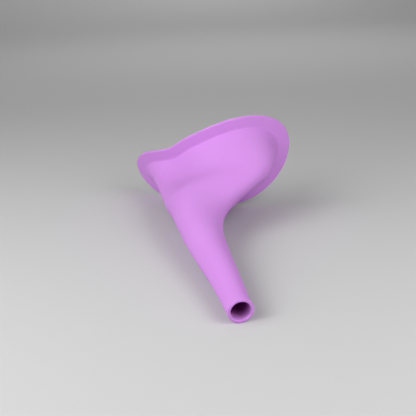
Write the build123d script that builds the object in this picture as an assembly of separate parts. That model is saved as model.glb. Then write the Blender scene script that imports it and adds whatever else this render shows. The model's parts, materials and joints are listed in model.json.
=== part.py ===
"""Soft silicone urination funnel, lying on its side.

One hollow moulding: a saddle-shaped rim flange, a pear-shaped cup, a throat and a tapered spout.
It is built upright, with its opening up and its mirror plane at y = 0, then turned into the pose
in which it lies on a table: on the outlet and on two places of the flange's edge.
"""
from build123d import *
import math
import os

# --- Driving dimensions, in mm and degrees ------------------------------------------------------

WALL = 1.7                     # wall of the cup, throat and spout

# Rim: a pear-shaped outline seen from above, bent into a saddle that is high at both ends
RIM_CENTRE_X = -14.7           # polar centre of the outline, from the saddle's lowest line
RIM_MEAN_RADIUS = 41.9
RIM_PEAR = 9.6                 # how much wider the rear end is than the front end
RIM_STRETCH = 16.7             # how much longer the outline is than wide
RIM_WAIST = 3.04               # slight pinch where the front end begins
SADDLE_LENGTH = 126.9          # the saddle rises by x squared over this length
FLANGE_WIDTH = 8.7             # seen from above, from the cup's outer wall to the edge
FLANGE_THICKNESS = 2.6

# Cup: how the wall leaves the flange
WALL_LEAN = 27.2               # inward lean below the flange at the sides
WALL_LEAN_PEAR = 11.1          # more at the front end and less at the rear
WALL_RUN = 14.1                # how far the wall keeps that lean
WALL_RUN_PEAR = -4.2           # more at the front end and less at the rear

# Two loops that shape the cup's floor and the throat: centre, tilt, half sizes, and how much
# wider each is at the front end, where it runs into the spout, than at the rear
CUP_X, CUP_Z, CUP_TILT = 11.1, -32.3, 13.8
CUP_HALF_LENGTH, CUP_HALF_WIDTH, CUP_PEAR = 41.9, 13.4, 0.48
THROAT_X, THROAT_Z, THROAT_TILT = -7.5, -46.4, -10.9
THROAT_HALF_LENGTH, THROAT_HALF_WIDTH, THROAT_PEAR = 18.8, 15.7, 0.36

# Spout: a tapered tube with a short straight end
SPOUT_LEAN = 21.2              # of the spout's axis, towards the rear
OUTLET_X, OUTLET_Z = 31.5, -160.6
OUTLET_RADIUS = 7.0
BORE_RADIUS = OUTLET_RADIUS - WALL
LIP_LENGTH = 8.0
LIP_ROUNDING = 0.6
SPOUT_LOWER_BACK, SPOUT_LOWER_RADIUS, SPOUT_LOWER_OFFSET = 35.2, 8.27, 1.1
SPOUT_UPPER_BACK, SPOUT_UPPER_RADIUS, SPOUT_UPPER_OFFSET = 75.8, 11.36, -1.0

# Where the moulding is divided into its named parts
CUP_END_X, CUP_END_Z, CUP_END_TILT = -2.0, -46.0, 14.0
THROAT_END_BACK = 78.0         # from the outlet, along the spout

# How the funnel lies, with its spout along -Y
REST_SPIN = -21.17             # about the upright spout's axis
REST_DROP = 4.58               # how much the spout's axis falls towards the outlet

# How finely the curves are laid out
LOOP_POINTS = 36
WALL_LOOPS = 15
EDGE_LOOPS = 5                 # round the flange's edge
FLANGE_LOOPS = 3               # across the flange


# --- Rim ---------------------------------------------------------------------------------------

def saddle_point(x, y, height):
    """Point over (x, y) at a height above the saddle's surface, along its normal."""
    slope = 2 * x / SADDLE_LENGTH
    normal = Vector(-slope, 0, 1).normalized()
    return Vector(x, y, x * x / SADDLE_LENGTH) + normal * height


def rim_outline(angle):
    """Point of the pear-shaped outline seen from above, and its outward normal."""
    cos, sin = math.cos(angle), math.sin(angle)
    radius = (RIM_MEAN_RADIUS + RIM_PEAR * cos + RIM_STRETCH * math.cos(2 * angle)
              + RIM_WAIST * math.cos(4 * angle))
    growth = -(RIM_PEAR * sin + 2 * RIM_STRETCH * math.sin(2 * angle)
               + 4 * RIM_WAIST * math.sin(4 * angle))
    point = Vector(RIM_CENTRE_X + radius * cos, radius * sin, 0)
    tangent = Vector(growth * cos - radius * sin, growth * sin + radius * cos, 0).normalized()
    return point, Vector(tangent.Y, -tangent.X, 0)


def rim_point(angle, inset, height=0.0):
    """Point of the rim, set in from its edge and raised above the flange's underside."""
    point, normal = rim_outline(angle)
    point = point - normal * inset
    return saddle_point(point.X, point.Y, height)


# --- Wall of the cup, throat and spout -----------------------------------------------------------

def wall_lean(angle):
    return math.radians(WALL_LEAN - WALL_LEAN_PEAR * math.cos(angle))


def ellipse_point(angle, x, z, tilt, half_length, half_width, pear=0.0):
    """Point of an ellipse or a pear shape across the mirror plane, tilted about the y axis."""
    tilt = math.radians(tilt)
    along = Vector(math.cos(tilt), 0, math.sin(tilt))
    across = Vector(0, math.sin(angle) * (1 - pear * math.cos(angle)), 0)
    return Vector(x, 0, z) + along * (half_length * math.cos(angle)) + across * half_width


def spout_point(angle, back, radius, offset):
    """Point of a circle round the spout, back from its end and set off from its axis."""
    lean = math.radians(SPOUT_LEAN)
    x = OUTLET_X - back * math.sin(lean) + offset * math.cos(lean)
    z = OUTLET_Z + back * math.cos(lean) + offset * math.sin(lean)
    return ellipse_point(angle, x, z, SPOUT_LEAN, radius, radius)


def opening_point(angle, height=0.0):
    """Point of the flange's inner edge, in line with the inside of the cup."""
    return rim_point(angle, FLANGE_WIDTH + WALL / math.cos(wall_lean(angle)), height)


def wall_poles(angle):
    """The seven points that the wall's outer line follows from the flange to the straight end."""
    _, outward = rim_outline(angle)
    flange_root = rim_point(angle, FLANGE_WIDTH)
    lean = wall_lean(angle)
    run = WALL_RUN + WALL_RUN_PEAR * math.cos(angle)
    below = Vector(0, 0, -math.cos(lean)) - outward * math.sin(lean)
    return [
        flange_root,
        flange_root + below * run,
        ellipse_point(
            angle, CUP_X, CUP_Z, CUP_TILT, CUP_HALF_LENGTH, CUP_HALF_WIDTH, CUP_PEAR),
        ellipse_point(
            angle, THROAT_X, THROAT_Z, THROAT_TILT, THROAT_HALF_LENGTH, THROAT_HALF_WIDTH,
            THROAT_PEAR),
        spout_point(angle, SPOUT_UPPER_BACK, SPOUT_UPPER_RADIUS, SPOUT_UPPER_OFFSET),
        spout_point(angle, SPOUT_LOWER_BACK, SPOUT_LOWER_RADIUS, SPOUT_LOWER_OFFSET),
        spout_point(angle, LIP_LENGTH, OUTLET_RADIUS, 0),
    ]


def cubic_blend(poles, u):
    """Point at u, from 0 to 1, on the uniform cubic B-spline that starts and ends on its poles."""
    spans = len(poles) - 3
    knots = [0] * 3 + list(range(spans + 1)) + [spans] * 3
    t = u * spans
    span = min(int(t), spans - 1)
    work = poles[span:span + 4]
    for level in range(1, 4):
        for j in range(3, level - 1, -1):
            low = knots[span + j]
            high = knots[span + 4 + j - level]
            share = (t - low) / (high - low)
            work[j] = work[j - 1] * (1 - share) + work[j] * share
    return work[3]


def wall_point(u, angle, depth=0.0):
    """Point of the wall at u down its line, set in by a depth along its normal."""
    point = cubic_blend(wall_poles(angle), u)
    if depth == 0:
        return point
    if u == 0:
        return opening_point(angle)
    if u == 1:
        return spout_point(angle, LIP_LENGTH, OUTLET_RADIUS - depth, 0)
    step = 0.001
    down = cubic_blend(wall_poles(angle), u + step) - cubic_blend(wall_poles(angle), u - step)
    round_it = (cubic_blend(wall_poles(angle + step), u)
                - cubic_blend(wall_poles(angle - step), u))
    return point - down.cross(round_it).normalized() * depth


# --- Faces through closed loops --------------------------------------------------------------------

def loop(point_at):
    """Closed smooth edge through the points of a function of the angle round the funnel."""
    points = [point_at(2 * math.pi * i / LOOP_POINTS) for i in range(LOOP_POINTS)]
    turns = [i / LOOP_POINTS for i in range(LOOP_POINTS + 1)]
    return Edge.make_spline(points, periodic=True, parameters=turns)


def smooth_skin(loops):
    """Faces of one smooth skin through closed loops."""
    return Shell.make_loft([Wire([edge]) for edge in loops]).faces()


def ruled_skin(loops, arcs=1):
    """Faces of straight bands between closed loops, each loop taken in one or more arcs."""
    wires = [Wire([edge.trim(i / arcs, (i + 1) / arcs) for i in range(arcs)]) if arcs > 1
             else Wire([edge]) for edge in loops]
    return Shell.make_loft(wires, ruled=True).faces()


def solid_of(faces):
    """Solid inside a closed set of faces."""
    sewn = Face.sew_faces(faces)[0]
    solid = Solid(Shell(sewn))
    if solid.volume < 0:
        solid = Solid(-Shell(sewn))
    return solid


# --- Parts, upright ----------------------------------------------------------------------------------

def wall_loops(depth):
    return [
        loop(lambda angle, u=i / (WALL_LOOPS - 1): wall_point(u, angle, depth))
        for i in range(WALL_LOOPS)
    ]


def make_wall():
    """The cup, throat and spout as one tapering tube, down to the straight end."""
    outer = wall_loops(0)
    inner = wall_loops(WALL)
    return solid_of(smooth_skin(outer) + smooth_skin(inner)
                    + ruled_skin([outer[0], inner[0]]) + ruled_skin([outer[-1], inner[-1]]))


def make_flange():
    """The rim flange: a saddle-shaped ring with a rounded outer edge."""
    radius = FLANGE_THICKNESS / 2
    edge = [
        (radius * (1 - math.cos(turn)), radius * (1 + math.sin(turn)))
        for turn in (math.pi * (i / (EDGE_LOOPS - 1) - 0.5) for i in range(EDGE_LOOPS))
    ]
    across = [FLANGE_WIDTH * i / FLANGE_LOOPS for i in range(1, FLANGE_LOOPS + 1)]
    over = [(inset, FLANGE_THICKNESS) for inset in across]
    under = [(inset, 0) for inset in reversed(across)]
    section = (
        [loop(lambda angle, at=at: rim_point(angle, *at)) for at in edge + over]
        + [loop(lambda angle, z=z: opening_point(angle, z)) for z in (FLANGE_THICKNESS, 0)]
        + [loop(lambda angle, at=at: rim_point(angle, *at)) for at in under + edge[:1]]
    )
    return solid_of(ruled_skin(section, arcs=2))


def make_lip():
    """The spout's straight end, with its bore and a rounded mouth."""
    plane = Plane(origin=(OUTLET_X, 0, OUTLET_Z), z_dir=spout_direction())
    ring = extrude(plane * (Circle(OUTLET_RADIUS) - Circle(BORE_RADIUS)), -LIP_LENGTH)
    mouth = ring.faces().sort_by(Axis(plane.origin, plane.z_dir))[-1]
    return fillet(mouth.edges(), LIP_ROUNDING)


def spout_direction():
    lean = math.radians(SPOUT_LEAN)
    return Vector(math.sin(lean), 0, -math.cos(lean))


def cut(solid, plane):
    """The parts of a solid above and below a plane."""
    above = split(solid, bisect_by=plane, keep=Keep.TOP)
    below = split(solid, bisect_by=plane, keep=Keep.BOTTOM)
    return above, below


def make_parts():
    wall = make_wall()
    tilt = math.radians(CUP_END_TILT)
    cup_end = Plane(origin=(CUP_END_X, 0, CUP_END_Z), z_dir=(-math.sin(tilt), 0, math.cos(tilt)))
    throat_end = Plane(
        origin=Vector(OUTLET_X, 0, OUTLET_Z) - spout_direction() * THROAT_END_BACK,
        z_dir=-spout_direction())
    cup, rest = cut(wall, cup_end)
    throat, spout = cut(rest, throat_end)
    return {
        "rim_flange": make_flange(),
        "funnel_cup": cup,
        "throat": throat,
        "spout_tube": spout,
        "outlet_lip": make_lip(),
    }


# --- Resting pose and files --------------------------------------------------------------------------

def main():
    parts = make_parts()
    lay_down = Rot(X=REST_DROP - 90) * Rot(Z=REST_SPIN) * Rot(Y=SPOUT_LEAN)
    turned = {name: lay_down * part for name, part in parts.items()}
    box = Compound(list(turned.values())).bounding_box()
    to_floor = Pos(-box.center().X, -box.center().Y, -box.min.Z)
    os.makedirs("parts", exist_ok=True)
    for name, part in turned.items():
        export_step(to_floor * part, f"parts/{name}.step")


main()
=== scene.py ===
"""Looks of the soft silicone urination funnel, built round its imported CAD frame.

The funnel is one skin of closed rings: down the outside, round the mouth, up the inside and over
the rim. It is worked out upright in mm, as the CAD part is, then laid down where the frame lies.
"""
import bpy
import json
import math
import numpy as np
from mathutils import Matrix, Vector


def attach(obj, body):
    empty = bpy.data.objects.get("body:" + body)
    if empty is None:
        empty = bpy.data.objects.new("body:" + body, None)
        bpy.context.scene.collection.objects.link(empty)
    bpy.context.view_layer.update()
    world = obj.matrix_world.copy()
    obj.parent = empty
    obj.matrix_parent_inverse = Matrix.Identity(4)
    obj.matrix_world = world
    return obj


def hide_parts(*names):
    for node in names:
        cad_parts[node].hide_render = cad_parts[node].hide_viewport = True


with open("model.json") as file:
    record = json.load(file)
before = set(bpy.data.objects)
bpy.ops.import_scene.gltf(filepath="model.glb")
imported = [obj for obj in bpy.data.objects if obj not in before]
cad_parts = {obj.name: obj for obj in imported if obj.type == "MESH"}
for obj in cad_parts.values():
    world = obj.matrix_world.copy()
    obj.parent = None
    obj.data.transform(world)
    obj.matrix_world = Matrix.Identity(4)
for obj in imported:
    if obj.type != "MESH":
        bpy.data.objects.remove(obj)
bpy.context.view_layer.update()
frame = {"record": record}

MM = 0.001

# --- Dimensions of the funnel, upright, in mm and degrees, as in the CAD part ---------------------

WALL = 1.7
RIM_CENTRE_X = -14.7
RIM_MEAN_RADIUS = 41.9
RIM_PEAR = 9.6
RIM_STRETCH = 16.7
RIM_WAIST = 3.04
SADDLE_LENGTH = 126.9
FLANGE_WIDTH = 8.7
FLANGE_THICKNESS = 2.6
WALL_LEAN, WALL_LEAN_PEAR = 27.2, 11.1
WALL_RUN, WALL_RUN_PEAR = 14.1, -4.2
CUP_X, CUP_Z, CUP_TILT = 11.1, -32.3, 13.8
CUP_HALF_LENGTH, CUP_HALF_WIDTH, CUP_PEAR = 41.9, 13.4, 0.48
THROAT_X, THROAT_Z, THROAT_TILT = -7.5, -46.4, -10.9
THROAT_HALF_LENGTH, THROAT_HALF_WIDTH, THROAT_PEAR = 18.8, 15.7, 0.36
SPOUT_LEAN = 21.2
OUTLET_X, OUTLET_Z = 31.5, -160.6
OUTLET_RADIUS = 7.0
LIP_LENGTH = 8.0
SPOUT_LOWER_BACK, SPOUT_LOWER_RADIUS, SPOUT_LOWER_OFFSET = 35.2, 8.27, 1.1
SPOUT_UPPER_BACK, SPOUT_UPPER_RADIUS, SPOUT_UPPER_OFFSET = 75.8, 11.36, -1.0
CUP_END_X, CUP_END_Z, CUP_END_TILT = -2.0, -46.0, 14.0
THROAT_END_BACK = 78.0
REST_SPIN, REST_DROP = -21.17, 4.58

# Soft transitions: the CAD part leaves the first two sharp
ROOT_FILLET = 0.9              # under the flange, where the cup's wall leaves it
OPENING_ROUNDING = 2.6         # where the inside of the cup turns over onto the flange
LIP_ROUNDING = 0.7             # of the mouth, a little more than the CAD part's

# How finely the skin is laid out
AROUND = 240
CUP_RINGS, THROAT_RINGS, SPOUT_RINGS = 80, 34, 56
FLANGE_RINGS, EDGE_RINGS, TURN_RINGS = 8, 14, 10
BORE_RINGS = 6                 # along the straight end
HALVINGS = 30                  # when a line's crossing of a plane is searched for

ANGLES = np.arange(AROUND) * (2 * math.pi / AROUND)


# --- The skin, upright --------------------------------------------------------------------------

def unit(vectors):
    return vectors / np.linalg.norm(vectors, axis=-1, keepdims=True)


def column(values):
    """One number for each meridian, ready to scale a ring's points."""
    return np.broadcast_to(np.asarray(values, float), (AROUND,))[:, None]


def rim_outline(angles):
    """Ring of the pear-shaped outline seen from above, and its outward normals."""
    cos, sin = np.cos(angles), np.sin(angles)
    radius = (RIM_MEAN_RADIUS + RIM_PEAR * cos + RIM_STRETCH * np.cos(2 * angles)
              + RIM_WAIST * np.cos(4 * angles))
    growth = -(RIM_PEAR * sin + 2 * RIM_STRETCH * np.sin(2 * angles)
               + 4 * RIM_WAIST * np.sin(4 * angles))
    level = np.zeros_like(angles)
    ring = np.stack([RIM_CENTRE_X + radius * cos, radius * sin, level], -1)
    tangent = unit(np.stack([growth * cos - radius * sin, growth * sin + radius * cos, level], -1))
    return ring, np.stack([tangent[:, 1], -tangent[:, 0], level], -1)


def rim(inset, height=0.0, angles=ANGLES):
    """Ring set in from the flange's edge, at a height above its saddle-shaped underside."""
    ring, outward = rim_outline(angles)
    ring = ring - outward * column(inset)
    slope = 2 * ring[:, 0] / SADDLE_LENGTH
    normal = unit(np.stack([-slope, np.zeros(AROUND), np.ones(AROUND)], -1))
    ring[:, 2] = ring[:, 0] ** 2 / SADDLE_LENGTH
    return ring + normal * column(height)


def wall_lean(angles=ANGLES):
    return np.radians(WALL_LEAN - WALL_LEAN_PEAR * np.cos(angles))


def ellipse(x, z, tilt, half_length, half_width, pear=0.0, angles=ANGLES):
    """Elliptical or pear-shaped ring across the mirror plane, tilted about the y axis."""
    tilt = math.radians(tilt)
    along = np.array([math.cos(tilt), 0, math.sin(tilt)])
    width = half_width * (1 - pear * np.cos(angles)) * np.sin(angles)
    return (np.array([x, 0, z]) + column(half_length * np.cos(angles)) * along
            + column(width) * np.array([0, 1, 0]))


def spout(back, radius, offset=0.0, angles=ANGLES):
    """Round ring of the spout, back from its end and set off from its axis."""
    lean = math.radians(SPOUT_LEAN)
    x = OUTLET_X - back * math.sin(lean) + offset * math.cos(lean)
    z = OUTLET_Z + back * math.cos(lean) + offset * math.sin(lean)
    return ellipse(x, z, SPOUT_LEAN, radius, radius, 0, angles)


def wall_poles(angles=ANGLES):
    """The seven rings that the wall follows from the flange's root to the straight end."""
    root = rim(FLANGE_WIDTH, 0, angles)
    outward = rim_outline(angles)[1]
    lean = wall_lean(angles)
    below = np.array([0, 0, -1]) * column(np.cos(lean)) - outward * column(np.sin(lean))
    return np.stack([
        root,
        root + below * column(WALL_RUN + WALL_RUN_PEAR * np.cos(angles)),
        ellipse(CUP_X, CUP_Z, CUP_TILT, CUP_HALF_LENGTH, CUP_HALF_WIDTH, CUP_PEAR, angles),
        ellipse(THROAT_X, THROAT_Z, THROAT_TILT, THROAT_HALF_LENGTH, THROAT_HALF_WIDTH,
                THROAT_PEAR, angles),
        spout(SPOUT_UPPER_BACK, SPOUT_UPPER_RADIUS, SPOUT_UPPER_OFFSET, angles),
        spout(SPOUT_LOWER_BACK, SPOUT_LOWER_RADIUS, SPOUT_LOWER_OFFSET, angles),
        spout(LIP_LENGTH, OUTLET_RADIUS, 0, angles),
    ])


TURN_STEP = 0.001
POLES = wall_poles()
POLES_AHEAD = wall_poles(ANGLES + TURN_STEP)
POLES_BEHIND = wall_poles(ANGLES - TURN_STEP)
KNOTS = np.array([0, 0, 0, 0, 1, 2, 3, 4, 4, 4, 4]) / 4
START_RATE = 3 * 4             # a cubic on four spans sets off at this many times its first step


def on_wall(poles, u):
    """Ring at u, from 0 to 1, down the uniform cubic B-spline that starts and ends on its poles."""
    u = np.clip(column(u), 0, 1 - 1e-9)
    share = ((KNOTS[:-1] <= u) & (u < KNOTS[1:])).astype(float)
    for degree in (1, 2, 3):
        first, last = KNOTS[:-degree - 1], KNOTS[degree + 1:]
        rise = np.maximum(KNOTS[degree:-1] - first, 1e-9)
        fall = np.maximum(last - KNOTS[1:-degree], 1e-9)
        share = share[:, :-1] * (u - first) / rise + share[:, 1:] * (last - u) / fall
    return np.einsum("ak,kac->ac", share, poles)


def wall(u, depth=0.0):
    """Ring of the wall at u down its line, set in from its outside by a depth."""
    down = on_wall(POLES, u + TURN_STEP) - on_wall(POLES, u - TURN_STEP)
    onward = on_wall(POLES_AHEAD, u) - on_wall(POLES_BEHIND, u)
    return on_wall(POLES, u) - unit(np.cross(down, onward)) * depth


def u_at(reached, depth):
    """The u of each meridian at which a value of its point, which grows down the wall, passes 0."""
    low, high = np.zeros(AROUND), np.ones(AROUND)
    for _ in range(HALVINGS):
        middle = (low + high) / 2
        past = reached(wall(middle, depth)) > 0
        low, high = np.where(past, low, middle), np.where(past, middle, high)
    return (low + high) / 2


def past_cup(ring):
    tilt = math.radians(CUP_END_TILT)
    return (ring[:, 0] - CUP_END_X) * math.sin(tilt) - (ring[:, 2] - CUP_END_Z) * math.cos(tilt)


def past_throat(ring):
    lean = math.radians(SPOUT_LEAN)
    return ((ring[:, 0] - OUTLET_X) * math.sin(lean) - (ring[:, 2] - OUTLET_Z) * math.cos(lean)
            + THROAT_END_BACK)


def turn(start, corner, end, count):
    """Rings of a smooth turn from one ring to another, in place of the sharp corner."""
    steps = np.linspace(0, 1, count)
    return [start * (1 - t) ** 2 + corner * (2 * t * (1 - t)) + end * t ** 2 for t in steps]


def wall_strip(start, end, depth, count):
    return [wall(start + (end - start) * t, depth) for t in np.linspace(0, 1, count)]


def over_the_rim(inner_u, outer_u):
    """From the inside of the cup over the flange, round its edge and back to the cup's outside."""
    lean = wall_lean()
    radius = FLANGE_THICKNESS / 2
    opening = FLANGE_WIDTH + WALL / np.cos(lean) - FLANGE_THICKNESS * np.tan(lean)
    inner_turn = turn(
        wall(inner_u, WALL), rim(opening, FLANGE_THICKNESS),
        rim(opening - OPENING_ROUNDING, FLANGE_THICKNESS), TURN_RINGS)
    outward = np.linspace(0, 1, FLANGE_RINGS)
    top = [rim((opening - OPENING_ROUNDING) * (1 - t) + radius * t, FLANGE_THICKNESS)
           for t in outward]
    edge = [rim(radius * (1 - math.sin(t)), radius * (1 + math.cos(t)))
            for t in np.linspace(0, math.pi, EDGE_RINGS)]
    under = [rim(radius + (FLANGE_WIDTH - ROOT_FILLET - radius) * t) for t in outward]
    root_turn = turn(under[-1], rim(FLANGE_WIDTH), wall(outer_u), TURN_RINGS)
    return inner_turn + top[1:] + edge[1:] + under[1:] + root_turn[1:]


def round_the_mouth():
    """From the spout's outside along its straight end, round the mouth and back up the bore."""
    bore = OUTLET_RADIUS - WALL
    straight = np.linspace(LIP_LENGTH, LIP_ROUNDING, BORE_RINGS + 1)
    rounds = np.linspace(0, math.pi / 2, TURN_RINGS)
    outside = [spout(back, OUTLET_RADIUS) for back in straight]
    rolled = [spout(LIP_ROUNDING * (1 - math.sin(t)), OUTLET_RADIUS - LIP_ROUNDING * (1 - math.cos(t)))
              for t in rounds]
    rolled_in = [spout(LIP_ROUNDING * (1 - math.cos(t)), bore + LIP_ROUNDING * (1 - math.sin(t)))
                 for t in rounds]
    inside = [spout(back, bore) for back in straight[::-1]]
    return outside + rolled[1:] + rolled_in + inside[1:]


def u_below_root(distance):
    """The u at which each meridian is that far below the flange's root."""
    run = WALL_RUN + WALL_RUN_PEAR * np.cos(ANGLES)
    return distance / (START_RATE * run)


outer_top = u_below_root(ROOT_FILLET)
inner_top = u_below_root(OPENING_ROUNDING)
outer_cup_end, inner_cup_end = u_at(past_cup, 0), u_at(past_cup, WALL)
outer_throat_end, inner_throat_end = u_at(past_throat, 0), u_at(past_throat, WALL)

# The skin's stretches in order, each starting on the ring where the last one ends
stretches = [
    ("rim_flange", over_the_rim(inner_top, outer_top)),
    ("funnel_cup", wall_strip(outer_top, outer_cup_end, 0, CUP_RINGS)),
    ("throat", wall_strip(outer_cup_end, outer_throat_end, 0, THROAT_RINGS)),
    ("spout_tube", wall_strip(outer_throat_end, 1, 0, SPOUT_RINGS)),
    ("outlet_lip", round_the_mouth()),
    ("spout_tube", wall_strip(1, inner_throat_end, WALL, SPOUT_RINGS)),
    ("throat", wall_strip(inner_throat_end, inner_cup_end, WALL, THROAT_RINGS)),
    ("funnel_cup", wall_strip(inner_cup_end, inner_top, WALL, CUP_RINGS)),
]


# --- Laying it down, and the pieces -------------------------------------------------------------

def add(name, data):
    made = bpy.data.objects.new(name, data)
    bpy.context.scene.collection.objects.link(made)
    return made


def smooth_mesh(name, points, faces, material):
    mesh = bpy.data.meshes.new(name)
    mesh.from_pydata(points, [], faces)
    mesh.polygons.foreach_set("use_smooth", [True] * len(faces))
    mesh.materials.append(material)
    return mesh


def lie_down():
    """The turn and move from upright mm to the row frame, matched to the frame's outlet."""
    turned = (Matrix.Rotation(math.radians(REST_DROP - 90), 3, "X")
              @ Matrix.Rotation(math.radians(REST_SPIN), 3, "Z")
              @ Matrix.Rotation(math.radians(SPOUT_LEAN), 3, "Y"))
    outlet = next(m for m in frame["record"]["mounts"] if m["name"] == "outlet_bore")
    turned = np.array(turned) * MM
    return turned, np.array(outlet["pos_m"]) - turned @ spout(LIP_LENGTH / 2, 0)[0]


turned, moved = lie_down()
spans = {}
rings = []
for name, stretch in stretches:
    spans.setdefault(name, []).append((len(rings), len(rings) + len(stretch) - 1))
    rings.extend(stretch[:-1])
skin = np.array(rings) @ turned.T + moved

# How much painted shade each ring gets down the bore, from 0 at the mouth's edge and in the cup to 1
mouth_edge = spans["outlet_lip"][0][1] - BORE_RINGS
bore_painted_shade = np.interp(
    np.arange(len(skin)),
    [mouth_edge, spans["spout_tube"][1][0], spans["throat"][1][0], spans["throat"][1][1]],
    [0, 1, 1, 0])

# Normals of the whole skin, so that nothing shows where one piece meets the next
down_across = np.roll(skin, (-1, -1), (0, 1)) - skin
up_across = np.roll(skin, -1, 1) - np.roll(skin, -1, 0)
face_normals = np.cross(down_across, up_across)
skin_normals = unit(sum(np.roll(face_normals, (i, j), (0, 1)) for i in (0, 1) for j in (0, 1)))


def make_piece(name, material):
    """One zone of the skin, closed where it is cut, standing for the CAD node of its name."""
    rows = [np.arange(start, end + 1) for start, end in spans[name]]
    order = np.concatenate(rows) % len(skin)
    cuts = set(np.cumsum([len(r) for r in rows]) - 1)
    points = skin[order].reshape(-1, 3)
    normals = skin_normals[order].reshape(-1, 3)
    faces, corner_normals = [], []
    for i in range(len(order)):
        below = (i + 1) % len(order)
        for j in range(AROUND):
            beside = (j + 1) % AROUND
            face = [i * AROUND + j, below * AROUND + j, below * AROUND + beside, i * AROUND + beside]
            faces.append(face)
            if i in cuts:
                across = np.cross(points[face[2]] - points[face[0]], points[face[3]] - points[face[1]])
                corner_normals.extend([unit(across)] * 4)
            else:
                corner_normals.extend(normals[face])
    mesh = smooth_mesh(name + "_skin", points.tolist(), faces, material)
    mesh.normals_split_custom_set(np.array(corner_normals).tolist())
    # Painted shade down the bore: how strongly each point of the skin takes it
    depth = mesh.attributes.new("bore_painted_shade", "FLOAT", "POINT")
    depth.data.foreach_set("value", np.repeat(bore_painted_shade[order], AROUND))
    piece = add(name + "_skin", mesh)
    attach(piece, "root")
    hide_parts(name)


# --- Materials ------------------------------------------------------------------------------------

SILICONE = (0.635, 0.285, 0.75, 1)
SILICONE_DEEPER = (0.60, 0.25, 0.715, 1)
# Painted shade down the bore: the colour the inside turns to, standing in for light that has crossed
# the coloured wall many times
BORE_PAINTED_SHADE = (0.33, 0.065, 0.30, 1)   # light there has crossed the coloured wall many times
FLOOR_GREY = (0.575, 0.575, 0.575, 1)


def node(tree, kind, **inputs):
    made = tree.nodes.new(kind)
    for socket, value in inputs.items():
        made.inputs[socket.replace("_", " ")].default_value = value
    return made


def make_silicone():
    """Matte, very smooth moulded silicone: slow shifts of tone and gloss, a fine grain, and painted
    shade down the bore.
    """
    material = bpy.data.materials.new("silicone")
    material.use_nodes = True
    tree = material.node_tree
    shader = tree.nodes["Principled BSDF"]
    place = tree.nodes.new("ShaderNodeTexCoord").outputs["Object"]

    tone = node(tree, "ShaderNodeTexNoise", Scale=38.0, Detail=3.0, Roughness=0.5)
    tree.links.new(place, tone.inputs["Vector"])
    mix = tree.nodes.new("ShaderNodeMix")
    mix.data_type = "RGBA"
    mix.inputs["A"].default_value = SILICONE_DEEPER
    mix.inputs["B"].default_value = SILICONE
    tree.links.new(tone.outputs["Fac"], mix.inputs["Factor"])
    # Painted shade down the bore: the tone darkens towards a deep red-purple inside the spout and
    # throat
    depth = tree.nodes.new("ShaderNodeAttribute")
    depth.attribute_name = "bore_painted_shade"
    bore = tree.nodes.new("ShaderNodeMix")
    bore.data_type = "RGBA"
    bore.inputs["B"].default_value = BORE_PAINTED_SHADE
    tree.links.new(depth.outputs["Fac"], bore.inputs["Factor"])
    tree.links.new(mix.outputs["Result"], bore.inputs["A"])
    tree.links.new(bore.outputs["Result"], shader.inputs["Base Color"])

    patches = node(tree, "ShaderNodeTexNoise", Scale=90.0, Detail=4.0, Roughness=0.6)
    tree.links.new(place, patches.inputs["Vector"])
    rough = node(tree, "ShaderNodeMapRange", To_Min=0.46, To_Max=0.60)
    tree.links.new(patches.outputs["Fac"], rough.inputs["Value"])
    tree.links.new(rough.outputs["Result"], shader.inputs["Roughness"])

    grain = node(tree, "ShaderNodeTexNoise", Scale=2600.0, Detail=2.0)
    tree.links.new(place, grain.inputs["Vector"])
    bump = node(tree, "ShaderNodeBump", Strength=0.12, Distance=0.00004)
    tree.links.new(grain.outputs["Fac"], bump.inputs["Height"])
    tree.links.new(bump.outputs["Normal"], shader.inputs["Normal"])

    shader.inputs["Specular IOR Level"].default_value = 0.08
    return material


def make_paper():
    """The pale, matte floor and backdrop."""
    material = bpy.data.materials.new("pale_floor")
    material.use_nodes = True
    shader = material.node_tree.nodes["Principled BSDF"]
    shader.inputs["Base Color"].default_value = FLOOR_GREY
    shader.inputs["Roughness"].default_value = 0.9
    shader.inputs["Specular IOR Level"].default_value = 0.1
    return material


# --- Floor, lights and camera -----------------------------------------------------------------------

FLOOR_RADIUS = 1.6             # flat as far as this, then curving up all round
SWEEP_RADIUS = 2.4
BACKDROP_HEIGHT = 3.4
STAGE_SEGMENTS = 96
FLOOR_RINGS, SWEEP_RINGS = 8, 24


def make_stage():
    """A round floor that sweeps up into an upright backdrop, the same on every side."""
    profile = [(FLOOR_RADIUS * t, 0) for t in np.linspace(0, 1, FLOOR_RINGS)[1:]]
    for t in np.linspace(0, math.pi / 2, SWEEP_RINGS)[1:]:
        profile.append((FLOOR_RADIUS + SWEEP_RADIUS * math.sin(t), SWEEP_RADIUS * (1 - math.cos(t))))
    profile.append((FLOOR_RADIUS + SWEEP_RADIUS, BACKDROP_HEIGHT))
    points, faces = [(0, 0, 0)], []
    for radius, height in profile:
        for k in range(STAGE_SEGMENTS):
            angle = 2 * math.pi * k / STAGE_SEGMENTS
            points.append((radius * math.cos(angle), radius * math.sin(angle), height))
    for k in range(STAGE_SEGMENTS):
        beside = (k + 1) % STAGE_SEGMENTS
        faces.append([0, 1 + k, 1 + beside])
        for row in range(len(profile) - 1):
            low, high = 1 + row * STAGE_SEGMENTS, 1 + (row + 1) * STAGE_SEGMENTS
            faces.append([low + k, high + k, high + beside, low + beside])
    floor = add("floor", smooth_mesh("floor", points, faces, make_paper()))


def aim(thing, place, target, roll=0.0):
    """Puts a light or the camera at a place, looking at a target."""
    direction = Vector(target) - Vector(place)
    turn_to = direction.to_track_quat("-Z", "Y").to_matrix().to_4x4()
    thing.matrix_world = (Matrix.Translation(place) @ turn_to
                          @ Matrix.Rotation(math.radians(roll), 4, "Z"))


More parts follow.
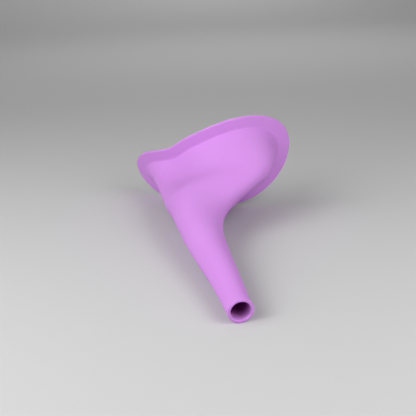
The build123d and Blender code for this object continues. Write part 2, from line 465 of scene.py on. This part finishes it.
def make_light(name, place, size, watts, target=(0, 0, 0.03)):
    """A square soft light, which the camera doesn't see."""
    data = bpy.data.lights.new(name, "AREA")
    data.size = size
    data.energy = watts
    light = add(name, data)
    light.visible_camera = False
    aim(light, place, target)


# Name, place, size, watts and what each points at, where that isn't the funnel
LIGHTS = [
    ("left_window", (-1.3, 0.0, 0.75), 0.9, 4.06),
    ("left_front", (-0.45, -0.26, 0.3), 0.35, 1.47),
    ("right_low", (0.4, -0.4, 0.21), 0.35, 0.34),
    ("right_high", (0.27, -0.33, 0.42), 0.35, 0.79),
    ("backdrop", (0.0, 0.9, 1.2), 1.0, 3.32, (0.0, 2.6, 0.6)),
    ("far_floor", (0.3, 0.8, 0.9), 0.8, 2.89, (0.4, 1.6, 0.0)),
    ("front_right", (0.21, -0.45, 0.34), 0.35, 0.99),
    ("left_high", (-0.42, -0.07, 0.42), 0.35, 0.93),
    ("far_floor_right", (0.8, 0.6, 1.0), 0.7, 1.18, (0.9, 1.0, 0.0)),
    ("far_floor_back", (0.75, 2.25, 0.65), 0.9, 1.5, (0.75, 2.35, 0.0)),
    ("backdrop_low", (0.0, 2.2, 1.5), 1.0, 5.93, (0.0, 3.0, 1.0)),
]
AMBIENT = 0.20
CAMERA_PLACE = (-0.11146, -0.38065, 0.16966)
CAMERA_TARGET = (-0.01534, 0.02772, 0.01070)
CAMERA_ROLL = -1.81
CAMERA_LENS = 56.0


def make_studio():
    make_stage()
    for light in LIGHTS:
        make_light(*light)
    world = bpy.data.worlds.new("soft_room")
    world.use_nodes = True
    world.node_tree.nodes["Background"].inputs["Color"].default_value = (1, 1, 1, 1)
    world.node_tree.nodes["Background"].inputs["Strength"].default_value = AMBIENT
    bpy.context.scene.world = world


def make_camera():
    data = bpy.data.cameras.new("camera")
    data.lens = CAMERA_LENS
    data.sensor_width = 36
    data.clip_start = 0.01
    camera = add("camera", data)
    aim(camera, CAMERA_PLACE, CAMERA_TARGET, CAMERA_ROLL)
    bpy.context.scene.camera = camera


silicone = make_silicone()
for name in spans:
    make_piece(name, silicone)
make_studio()
make_camera()
bpy.context.scene.view_settings.view_transform = "Standard"
